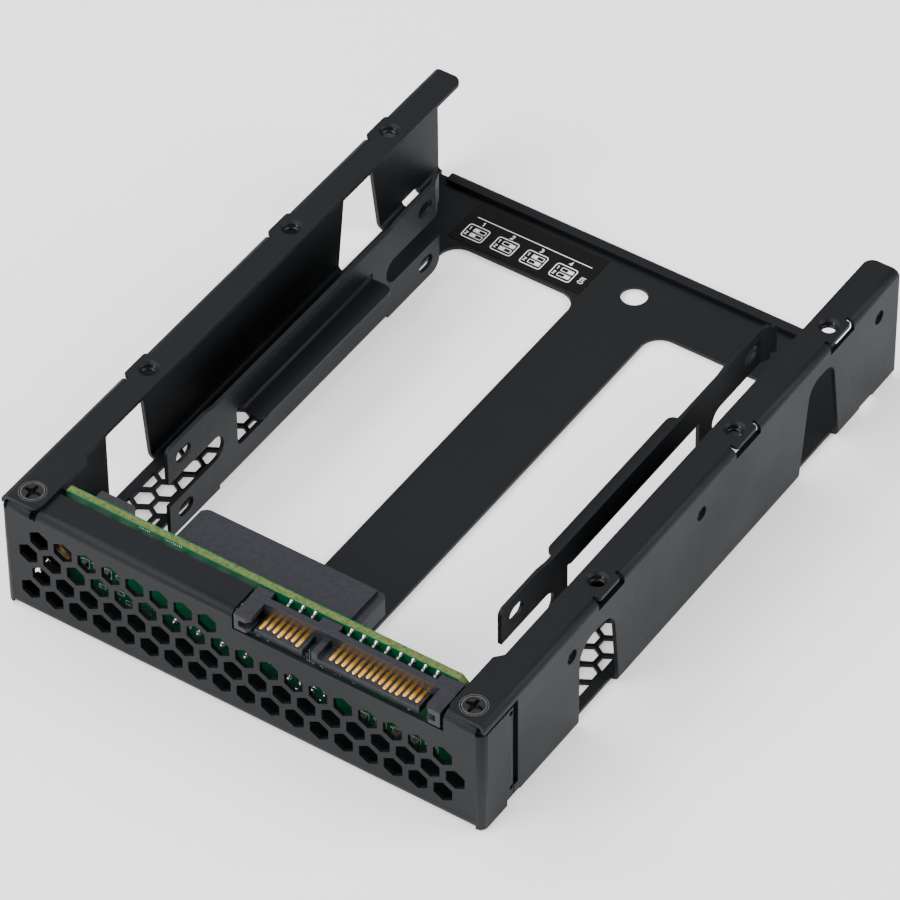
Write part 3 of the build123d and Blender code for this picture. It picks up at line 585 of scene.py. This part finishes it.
def label_print():
    """Plain setting diagrams: four frames with two two-way switches, numbers, a rule and ON."""
    low, high = (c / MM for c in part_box("settings_label"))
    z0 = high.z + INK_LOW
    z1 = high.z + INK_HIGH
    rule_y = 7.35
    number_y = 6.2
    first_frame = 4.1
    frame_pitch = 6.55
    frame_y = 3.35
    frame_width = 4.5
    frame_height = 3.7
    row_pitch = 1.44
    slot_shift = 0.5
    slot_width = 2.5
    slot_height = 0.9
    knob_width = 1.14
    knob_travel = 0.68
    made = []

    def flat(x, y, z):
        return (low.x + x, low.y + y, z)

    def upended(x, y, z):
        return (low.x + 27.75 - y, low.y + 2.9 + x, z)

    def sign(name, x, y, size, width, place):
        line = [(x + px * size, y + py * size) for px, py in SIGNS[name]]
        made.append(stroke(line, width, place, z0, z1))

    made.append(stroke([(2.0, rule_y), (27.6, rule_y)], 0.16, flat, z0, z1))
    for index, knobs in enumerate(((0, 0), (1, 0), (0, 1), (1, 1))):
        cx = first_frame + index * frame_pitch
        outline = rounded_box(cx, frame_y, frame_width, frame_height, 0.55)
        made.append(loop(outline, 0.2, flat, z0, z1))
        for row, knob in enumerate(knobs):
            y = frame_y + row_pitch / 2 - row * row_pitch
            sign(str(row + 1), cx - 1.6, y, 0.8, 0.15, flat)
            slot = rounded_box(cx + slot_shift, y, slot_width, slot_height, 0.08, 1)
            made.append(loop(slot, 0.14, flat, z0, z1))
            x = cx + slot_shift + (knob_travel if knob else -knob_travel)
            made.append(prism(rounded_box(x, y, knob_width, slot_height, 0.06, 1), z0, z1, flat))
        sign(str(index + 1), cx, number_y, 0.95, 0.17, flat)
    for index, name in enumerate("ON"):
        sign(name, float(index), 0.0, 1.0, 0.15, upended)
    from_meshes("label_print", made, ink, "adapter")


label_print()


def on_board(x, z, rear=False):
    """Local frame on a face of the board: the third direction points out of it."""
    low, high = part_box("circuit_board")

    def place(u, v, w):
        y = high.y / MM + w if rear else low.y / MM - w
        return (x + u, y, z + v)

    return place


def ribbon(path, wide, thick, place):
    """Bar of rectangular section along (s, w) points; place maps (s, across, w) to the row frame."""
    points = []
    for i in range(len(path)):
        p, offset = mitre(path, i, thick)
        up = p + offset
        down = p - offset
        for across, q in ((-wide / 2, up), (-wide / 2, down), (wide / 2, down), (wide / 2, up)):
            points.append(place(q.x, across, q.y))
    last = 4 * (len(path) - 1)
    faces = [(0, 1, 2, 3)] + bands(len(path), 4)
    faces.append((last + 3, last + 2, last + 1, last))
    return points, faces


def solid_boxes(name):
    """Lowest and highest corners in millimetres of every separate solid of a CAD node."""
    shell = bmesh.new()
    shell.from_mesh(nodes[name].data)
    bmesh.ops.remove_doubles(shell, verts=shell.verts, dist=1e-6)
    shell.verts.ensure_lookup_table()
    left = set(range(len(shell.verts)))
    boxes = []
    while left:
        stack = [left.pop()]
        found = []
        while stack:
            vertex = shell.verts[stack.pop()]
            found.append(vertex.co / MM)
            for edge in vertex.link_edges:
                other = edge.other_vert(vertex).index
                if other in left:
                    left.remove(other)
                    stack.append(other)
        low = Vector(min(co[k] for co in found) for k in range(3))
        high = Vector(max(co[k] for co in found) for k in range(3))
        boxes.append((low, high))
    shell.free()
    return sorted(boxes, key=lambda box: (box[0].x, box[0].z))


# Contacts

# Solder cone as (radius, height) points, and the solder over a pin's end, in millimetres
SOLDER_CONE = (
    (0.55, 0.0), (0.53, 0.06), (0.45, 0.16), (0.39, 0.3),
    (0.34, 0.46), (0.27, 0.59), (0.16, 0.68), (0.04, 0.71),
)
SOLDER_OVER_PIN = 0.14


def dome(x, z, tip, width=1.0):
    """Solder cone that covers a pin end standing the given height out of the board."""
    top = SOLDER_CONE[-1][1]
    profile = [(r * width, h * (tip + SOLDER_OVER_PIN) / top) for r, h in SOLDER_CONE]
    return lathe(profile, on_board(x, z))


def blade(low, high):
    """Gold strip with a rounded, slightly crowned tip, in the place of its CAD strip."""
    x = (low.x + high.x) / 2
    reach = (high.x - low.x) / 2
    # Distance from the tip in millimetres, and the shares of the width and of the height there
    stations = [(0.0, 0.3, 0.3), (0.05, 0.6, 0.55), (0.13, 0.84, 0.8), (0.26, 0.97, 0.97), (0.45, 1.0, 1.0)]
    section = [(-1.0, 0.0), (-1.0, 0.62), (-0.92, 0.88), (-0.66, 0.98), (0.0, 1.0)]
    section += [(-u, v) for u, v in section[3::-1]]
    count = len(section)
    rows = [(low.y + along, reach * wide, rise) for along, wide, rise in stations]
    rows.append((high.y, reach, 1.0))
    tall = high.z - low.z
    points = [(x + u * half, y, low.z + tall * rise * v) for y, half, rise in rows for u, v in section]
    caps = [tuple(range(count - 1, -1, -1)), tuple(range(len(points) - count, len(points)))]
    return points, caps + bands(len(rows), count)


def plug_contacts():
    """Strips on both tongues, and the tails that rise out of the bar and bend into the board."""
    board_low, board_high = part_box("circuit_board")
    face = board_low.y / MM
    # Strips end in front of this plane, and pins reach behind it
    parting = face - 0.5
    pin_z = board_high.z / MM - 0.62
    pin_length = 0.5
    tail_width = 0.42
    tail_thickness = 0.28
    joints = []
    tails = []
    for name in PLUG_CONTACTS:
        solids = solid_boxes(name)
        strips = [blade(low, high) for low, high in solids if high.y < parting]
        pins = [(low, high) for low, high in solids if high.y >= parting]
        if name == "host_signal_contacts":
            # No joint shows at the first tail, which ends in the plug's raised block
            pins = pins[1:]
        for low, high in pins:
            x = (low.x + high.x) / 2
            foot = low.y + 0.2
            middle = (low.z + high.z) / 2
            path = [(foot, middle - 0.4), (foot, pin_z - 0.35), (foot + 0.3, pin_z), (face + 0.02, pin_z)]
            spot = lambda y, across, z, x=x: (x + across, y, z)
            tails.append(ribbon(path, tail_width, tail_thickness, spot))
            joints.append(dome(x, pin_z, pin_length))
        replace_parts(from_meshes(name + "_formed", strips, gilt, "adapter"), name)
    # The tails take the darker tin as painted shade
    from_meshes("plug_tails", tails, shaded_tin, "adapter")
    from_meshes("plug_solder", joints, tin, "adapter", True)


def socket_solder():
    """Solder domes over the socket pins on the front of the board."""
    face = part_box("circuit_board")[0].y / MM
    made = []
    for name in SOCKET_CONTACTS:
        for low, high in solid_boxes(name):
            # Pins end in front of the board, and blades stay behind it
            if high.y < face + 0.1:
                made.append(dome((low.x + high.x) / 2, (low.z + high.z) / 2, face - low.y, 1.2))
    from_meshes("socket_solder", made, tin, "adapter", True)


plug_contacts()
socket_solder()


# Screws and threads

def cross_screw(place, rim, wing, reach, depth, segments=72):
    """Turned head from (radius, height) points, with a cross recess that has tapered wings."""
    angles = [2 * math.pi * (k + 0.5) / segments for k in range(segments)]
    top = rim[-1][1]
    core = wing * 1.9
    # Shares of the recess's width, and of its depth, from the mouth's soft edge down
    steps = ((1.06, 0.0), (1.0, 0.07 / depth), (0.82, 0.6), (0.4, 0.92))

    def ring(radius, z):
        return [place(radius * math.cos(a), radius * math.sin(a), z) for a in angles]

    def cross(scale, z):
        line = []
        for a in angles:
            narrow = min(abs(math.sin(a)), abs(math.cos(a)))
            wide = max(abs(math.sin(a)), abs(math.cos(a)))
            arm = ((narrow / wing) ** 4 + (wide / reach) ** 4) ** -0.25
            radius = (arm ** 4 + core ** 4) ** 0.25
            line.append(place(radius * scale * math.cos(a), radius * scale * math.sin(a), z))
        return line

    rows = [ring(radius, z) for radius, z in rim]
    rows += [cross(scale, top - depth * share) for scale, share in steps]
    points = [p for row in rows for p in row] + [place(0, 0, top - depth)]
    last = (len(rows) - 1) * segments
    faces = [tuple(range(segments - 1, -1, -1))] + bands(len(rows), segments)
    faces += [(last + k, last + (k + 1) % segments, len(points) - 1) for k in range(segments)]
    return points, faces


def threaded(radius, z0, z1, pitch, depth):
    """Shank outline of a screw: ridges between two heights, as (radius, height) points."""
    root = radius - depth
    foot = pitch * 0.42
    crest = pitch * 0.06
    line = [(root, z0)]
    z = z0 + pitch / 2
    while z + pitch / 2 <= z1:
        line += [(root, z - foot), (radius, z - crest), (radius, z + crest), (root, z + foot)]
        z += pitch
    return line


# Coarse thread of the 3.5 inch drive outline's holes, pitch in millimetres
DRIVE_THREAD_PITCH = 0.79


def corner_screws():
    """Countersunk cross-recess screws in the flanges, with two bright rings on each head: painted highlights
    along the head's rounded edges.
    """
    shank = 1.44
    seat_depth = 0.82
    ring_width = 0.09
    ring_insets = (0.05, 0.46)
    made = []
    highlight_rings = []
    turn = [(math.cos(math.pi * k / 24), math.sin(math.pi * k / 24)) for k in range(48)]
    for low, high in solid_boxes("corner_screws"):
        x = (low.x + high.x) / 2
        y = (low.y + high.y) / 2
        head = (high.x - low.x) / 2
        top = high.z
        seat = top - seat_depth
        # Radius and height, from the shank's tip to the edge of the recess
        rim = threaded(shank, low.z, seat - 0.1, DRIVE_THREAD_PITCH, 0.2)
        rim += [(shank, seat), (head - 0.1, top - 0.12), (head, top - 0.05), (head - 0.06, top)]
        rim += [(head - 0.34, top), (head - 0.42, top - 0.05), (head - 0.52, top - 0.02), (1.9, top - 0.02)]
        spot = lambda u, v, w, x=x, y=y: (x + u, y + v, w)
        made.append(cross_screw(spot, rim, 0.36, 1.72, 1.1))
        # Two bright rings near the head's edge: painted highlights of its rims
        for inset in ring_insets:
            circle = [((head - inset) * u, (head - inset) * v) for u, v in turn]
            highlight_rings.append(loop(circle, ring_width, spot, top - 0.06, top - 0.005))
    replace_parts(from_meshes("corner_screws_turned", made, oxide, "adapter"), "corner_screws")
    from_meshes("corner_screw_highlight_rings", highlight_rings, rim_highlight_steel, "adapter")


def board_screws():
    """Pan-head screws through the wings of the board."""
    shank = 1.19
    thread_pitch = 0.5
    top = 1.5
    made = []
    for low, high in solid_boxes("board_screws"):
        x = (low.x + high.x) / 2
        z = (low.z + high.z) / 2
        head = (high.x - low.x) / 2
        tail = top - (high.y - low.y)
        # Radius and height over the board, from the shank's tip to the edge of the recess
        rim = threaded(shank, tail, -0.1, thread_pitch, 0.13)
        rim += [(shank, 0.0), (head, 0.02), (head, 0.62), (head - 0.1, 0.86), (head - 0.36, 1.14)]
        rim += [(head - 0.85, 1.36), (head - 1.4, top - 0.03), (1.7, top)]
        made.append(cross_screw(on_board(x, z), rim, 0.33, 1.45, 1.0))
    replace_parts(from_meshes("board_screws_turned", made, brass, "adapter"), "board_screws")


def thread_ridge(place, z0, z1, steps=20):
    """Triangular ridge that winds round the inside of a tapped hole between two heights."""
    root = 1.5
    crest = 1.24
    rise = 0.36 * DRIVE_THREAD_PITCH
    turns = (z1 - z0) / DRIVE_THREAD_PITCH
    count = int(turns * steps)
    points = []
    for k in range(count + 1):
        a = 2 * math.pi * k / steps
        z = z0 + DRIVE_THREAD_PITCH * k / steps
        for radius, shift in ((root, -rise), (crest, 0.0), (root, rise)):
            points.append(place(radius * math.cos(a), radius * math.sin(a), z + shift))
    caps = [(0, 1, 2), (3 * count + 2, 3 * count + 1, 3 * count)]
    return points, caps + bands(count + 1, 3)


def tapped_threads():
    """Thread ridges in the tapped holes of the flanges and the side walls."""
    flange_holes = (-27.595, 16.855, 48.605)
    wall_holes = (-40.375, 1.235, 61.225)
    flange_inset = 3.175
    wall_drop = 6.35
    inner_face = 2.0
    made = []
    high = cad_high / MM
    for side in (-1, 1):
        x = side * (high.x - flange_inset)
        for y in flange_holes:
            down = lambda u, v, w, x=x, y=y: (x + u, y + v, high.z - inner_face + w)
            made.append(thread_ridge(down, 0.3, 1.3))
        z = high.z - wall_drop
        start = side * (high.x - inner_face)
        for y in wall_holes:
            inward = lambda u, v, w, y=y, z=z, start=start, side=side: (start + side * w, y + u, z + v)
            made.append(thread_ridge(inward, 0.3, 1.55))
    from_meshes("tapped_threads", made, oxide, "adapter")


def ear_shade_sheets():
    """Thin turned lips that close the gaps behind the panel's ears, and the webs at their feet: sheets put
    in as painted shade, so the slots and cells read dark instead of showing the floor.
    """
    half_thickness = 0.3
    lip_inset = 1.12
    lip_start = 8.5
    lip_length = 3.0
    lip_middle = 12.2
    lip_height = 20.4
    web_inset = 1.55
    web_width = 1.5
    web_low = 0.06
    web_high = 0.74
    web_spans = ((1.0, 8.0), (8.7, 13.4))
    made = []
    high = cad_high / MM
    low = cad_low / MM
    for side in (-1, 1):
        # Each lip and web is steel put in as painted shade, closing what would show the floor
        lip = rounded_box(low.y + lip_start + lip_length / 2, lip_middle, lip_length, lip_height, 0.5, 3)
        x = side * (high.x - lip_inset)
        made.append(prism(lip, -half_thickness, half_thickness, lambda y, z, u, x=x: (x + u, y, z)))
        x = side * (high.x - web_inset)
        for start, end in web_spans:
            web = rounded_box(x, low.y + (start + end) / 2, web_width, end - start, 0.2, 2)
            made.append(prism(web, web_low, web_high, lambda x, y, z: (x, y, z)))
    from_meshes("ear_shade_sheets", made, steel, "adapter")


corner_screws()
board_screws()
tapped_threads()
ear_shade_sheets()


# Small parts of the board

# Outlined places of small parts on the front of the board: centre, width, height
OUTLINED = (
    (-35.2, 5.2, 1.5, 0.9), (-33.3, 5.6, 1.4, 0.8), (-31.2, 5.8, 1.6, 0.9), (-29.4, 4.2, 1.5, 0.9),
    (-32.2, 3.6, 1.5, 0.9), (-31.4, 9.4, 1.4, 0.9), (-16.4, 6.0, 0.7, 1.3), (22.5, 7.4, 1.5, 0.9),
    (26.0, 7.2, 1.5, 0.9), (29.6, 7.3, 1.5, 0.9), (33.2, 7.2, 1.5, 0.9),
)


def gull_leads():
    """Bent leads of the chips, from their bodies down to the board."""
    thickness = 0.12
    # Node, on the rear face, leads on a side, pitch, directions that they point in, and width
    rows = (
        ("controller_chip", False, 12, 0.5, "xz", 0.22),
        ("memory_chip", False, 4, 0.9, "z", 0.38),
        ("regulator_chip", True, 3, 0.8, "x", 0.34),
    )
    made = []
    for name, rear, count, pitch, axes, wide in rows:
        low, high = (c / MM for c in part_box(name))
        middle = (low + high) / 2
        rise = (high.y - low.y) * 0.5
        place = on_board(middle.x, middle.z, rear)
        for axis in axes:
            edge = (high.x - low.x) / 2 if axis == "z" else (high.z - low.z) / 2
            # Out of the body, down, and along the board
            path = [(edge - 0.1, rise), (edge + 0.16, rise), (edge + 0.34, 0.08), (edge + 0.72, 0.08)]
            for sign in (-1, 1):
                for k in range(count):
                    shift = (k - (count - 1) / 2) * pitch
                    if axis == "z":
                        spot = lambda s, t, w, sign=sign, shift=shift: place(sign * s, shift + t, w)
                    else:
                        spot = lambda s, t, w, sign=sign, shift=shift: place(shift + t, sign * s, w)
                    made.append(ribbon(path, wide, thickness, spot))
    return made


def end_caps():
    """Tinned caps and solder at both ends of the resistors and capacitors."""
    cap_share = 0.2
    proud = 0.02
    made = []
    for name in ("resistors", "capacitors"):
        for low, high in solid_boxes(name):
            size = high - low
            axis = 2 if size.z > size.x else 0
            cap = size[axis] * cap_share
            shift = size[axis] / 2 - cap / 2 + proud
            half = size / 2 + Vector((proud, proud, proud))
            half[axis] = cap / 2 + proud
            outline = rounded_box(0, 0, 2 * half.x, 2 * half.z, 0.06, 2)
            for sign in (-1, 1):
                end = (low + high) / 2
                end[axis] += sign * shift
                spot = lambda x, z, y, end=end: (end.x + x, end.y + y, end.z + z)
                made.append(prism(outline, -half.y, half.y, spot))
    return made


def legends():
    """Plain outlines of the parts and small ticks in legend ink, on both faces of the board."""
    line_width = 0.09
    loose_margin = 0.95
    chip_margin = 0.25
    small_margin = 0.3
    tick_z = 25.16
    tick_pitch = 0.42
    made = []
    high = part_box("circuit_board")[1] / MM
    spots = []
    for name in ("controller_chip", "memory_chip", "clock_crystal", "regulator_chip", "power_inductor"):
        a, b = (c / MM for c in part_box(name))
        spots.append((a, b, loose_margin if name in ("controller_chip", "memory_chip") else chip_margin))
    for name in ("resistors", "capacitors"):
        spots += [(a, b, small_margin) for a, b in solid_boxes(name)]
    for a, b, margin in spots:
        wide = b.x - a.x
        tall = b.z - a.z
        place = on_board((a.x + b.x) / 2, (a.z + b.z) / 2, b.y > high.y)
        outline = rounded_box(0, 0, wide + 2 * margin, tall + 2 * margin, 0.1, 1)
        made.append(loop(outline, line_width, place, INK_LOW, INK_HIGH))
        dot = rounded_box(-wide / 2 - margin - 0.35, tall / 2, 0.3, 0.3, 0.14, 2)
        made.append(prism(dot, INK_LOW, INK_HIGH, place))
    # Plain ticks under the board's top edge
    for start, count in ((-26.2, 6), (-20.6, 9)):
        for k in range(count):
            tall = 0.34 if k % 3 else 0.22
            tick = rounded_box(k * tick_pitch, 0, 0.16, tall, 0.05, 1)
            made.append(prism(tick, INK_LOW, INK_HIGH, on_board(start, tick_z)))
    for x, z, wide, tall in OUTLINED:
        outline = rounded_box(0, 0, wide, tall, 0.1, 1)
        made.append(loop(outline, line_width, on_board(x, z), INK_LOW, INK_HIGH))
    return made


def pads():
    """Tinned pads: pairs inside the outlined places, and a fine field beside them."""
    pad_height = 0.05
    field_x = -27.7
    field_z = 3.5
    field_pitch_x = 0.6
    field_pitch_z = 0.62
    made = []
    spots = []
    for x, z, wide, tall in OUTLINED:
        for side in (-1, 1):
            spots.append((x + side * wide * 0.27, z, wide * 0.3, tall * 0.55))
    for column in range(7):
        for row in range(5):
            # Every fifth place of the field is bare
            if (column * 3 + row * 2) % 5:
                x = field_x + column * field_pitch_x
                z = field_z + row * field_pitch_z
                spots.append((x, z, 0.3, 0.34))
    for x, z, wide, tall in spots:
        made.append(prism(rounded_box(0, 0, wide, tall, 0.06, 2), INK_LOW, pad_height, on_board(x, z)))
    return made


def vias():
    """Small plated holes scattered between the parts, on both faces."""
    profile = [(0.3, INK_LOW), (0.3, INK_HIGH), (0.16, 0.025), (0.14, INK_LOW)]
    count = 46
    field_width = 75.0
    field_low = 3.2
    field_height = 19.0
    step_x = 7.93
    step_z = 4.71
    made = []
    for k in range(count):
        x = (k * step_x) % field_width - field_width / 2
        z = (k * step_z) % field_height + field_low
        for rear in (False, True):
            made.append(lathe(profile, on_board(x, z, rear), 10))
    return made


from_meshes("part_leads", gull_leads() + end_caps(), leads, "adapter")
from_meshes("board_pads", pads() + vias(), leads, "adapter")
from_meshes("board_legends", legends(), silk, "adapter")


# Floor, lights and surroundings

def studio():
    """Floor, even surroundings and four soft square lights, in metres and watts."""
    reach = 3.0
    drop = -0.0003
    data = bpy.data.meshes.new("studio_floor")
    corners = [(x * reach, y * reach, drop) for x, y in ((-1, -1), (1, -1), (1, 1), (-1, 1))]
    data.from_pydata(corners, [], [(0, 1, 2, 3)])
    data.materials.append(studio_floor())
    floor = bpy.data.objects.new("studio_floor", data)
    bpy.context.scene.collection.objects.link(floor)
    world = bpy.data.worlds.new("studio_world")
    world.use_nodes = True
    background = world.node_tree.nodes["Background"]
    background.inputs["Color"].default_value = (0.9, 0.94, 1.0, 1)
    background.inputs["Strength"].default_value = 0.15
    bpy.context.scene.world = world
    # Name, place, width, power and colour; each lamp faces the part
    lamps = (
        ("key_light", (-0.5, -1.2, 1.2), 1.3, 44, (1.0, 0.99, 0.98)),
        ("side_light", (1.2, 0.7, 1.1), 1.1, 30, (0.97, 0.98, 1.0)),
        ("fill_light", (-1.2, 0.0, 1.2), 1.1, 22, (0.96, 0.98, 1.0)),
        ("glint_light", (-0.6, 0.86, 1.2), 0.75, 3.2, (1.0, 0.98, 0.95)),
    )
    for name, spot, wide, power, color in lamps:
        lamp = bpy.data.lights.new(name, "AREA")
        lamp.shape = "SQUARE"
        lamp.size = wide
        lamp.energy = power
        lamp.color = color
        holder = bpy.data.objects.new(name, lamp)
        holder.location = spot
        holder.rotation_euler = (-Vector(spot)).to_track_quat("-Z", "Y").to_euler()
        bpy.context.scene.collection.objects.link(holder)


studio()
